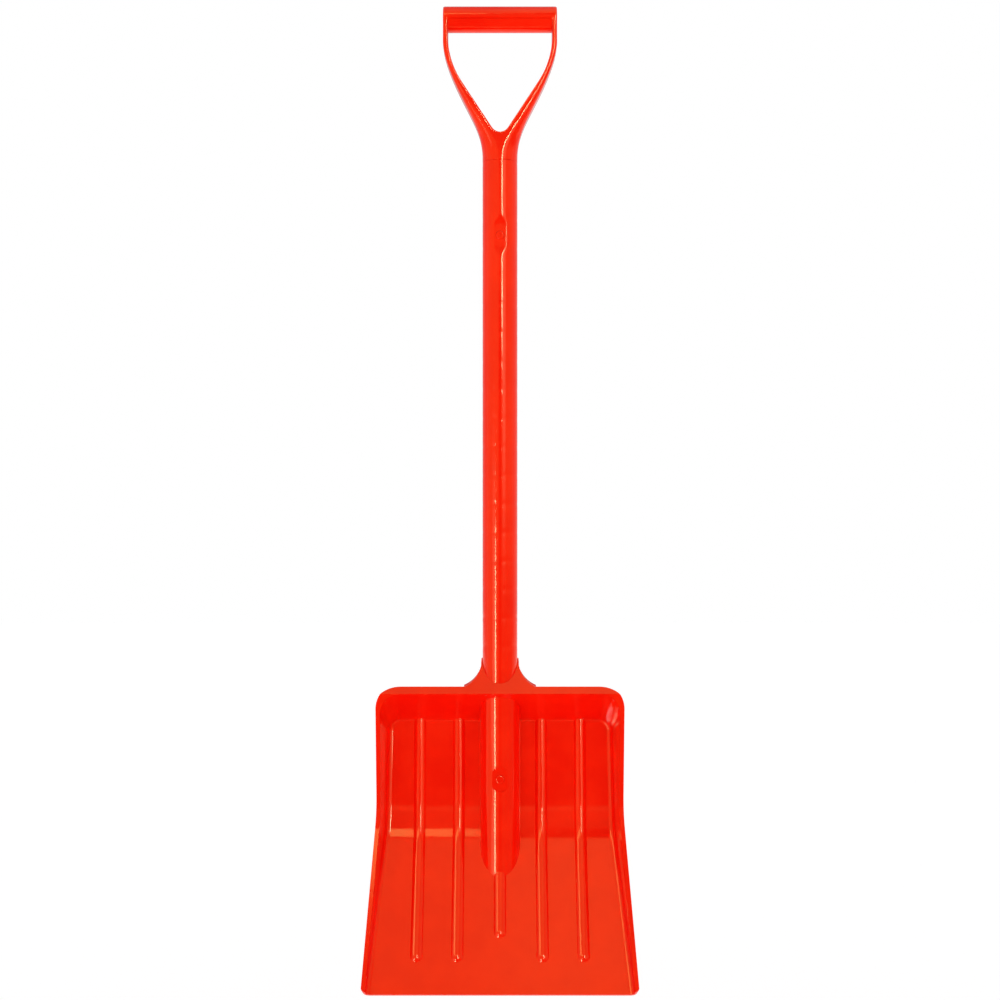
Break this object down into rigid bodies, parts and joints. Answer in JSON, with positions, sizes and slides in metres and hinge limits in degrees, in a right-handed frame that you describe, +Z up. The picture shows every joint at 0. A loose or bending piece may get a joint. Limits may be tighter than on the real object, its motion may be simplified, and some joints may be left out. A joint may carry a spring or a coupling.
{
  "type": "avalanche shovel",
  "caption": "One-colour moulded avalanche shovel: ribbed scoop blade with a collar, a straight round shaft held by spring buttons, and a D-shaped hand grip.",
  "frame": {"origin": "middle of the hand bar's underside, where a hook carries the shovel", "axes": "+X to the right, -Y out of the open side of the scoop, +Z up along the shaft's axis"},
  "size_m": [0.2658, 0.1157, 0.9688],
  "materials": {
    "moulded_plastic": "glossy red-orange moulded plastic with a fine mottle and light handling scuffs",
    "button_plastic": "glossy red-orange moulded plastic, as on the shaft",
    "spring_steel": "bright rolled spring strip"
  },
  "bodies": {
    "shovel": {"blade": "moulded_plastic", "shaft_tube": "moulded_plastic", "shaft_foot_plug": "moulded_plastic", "grip_frame": "moulded_plastic", "grip_bar_shell": "moulded_plastic", "grip_button_spring": "spring_steel", "blade_button_spring": "spring_steel"},
    "grip_button": {"grip_button": "button_plastic"},
    "blade_button": {"blade_button": "button_plastic"}
  },
  "joints": [
    {"name": "grip_button_press", "type": "slide", "parent": "shovel", "child": "grip_button", "axis": [0, 1, 0], "range_m": [0, 0.0052], "stiffness_N_per_m": 2000, "springref_m": -0.002, "deforming": ["grip_button_spring"]},
    {"name": "blade_button_press", "type": "slide", "parent": "shovel", "child": "blade_button", "axis": [0, 1, 0], "range_m": [0, 0.003], "stiffness_N_per_m": 2000, "springref_m": -0.002, "deforming": ["blade_button_spring"]}
  ]
}
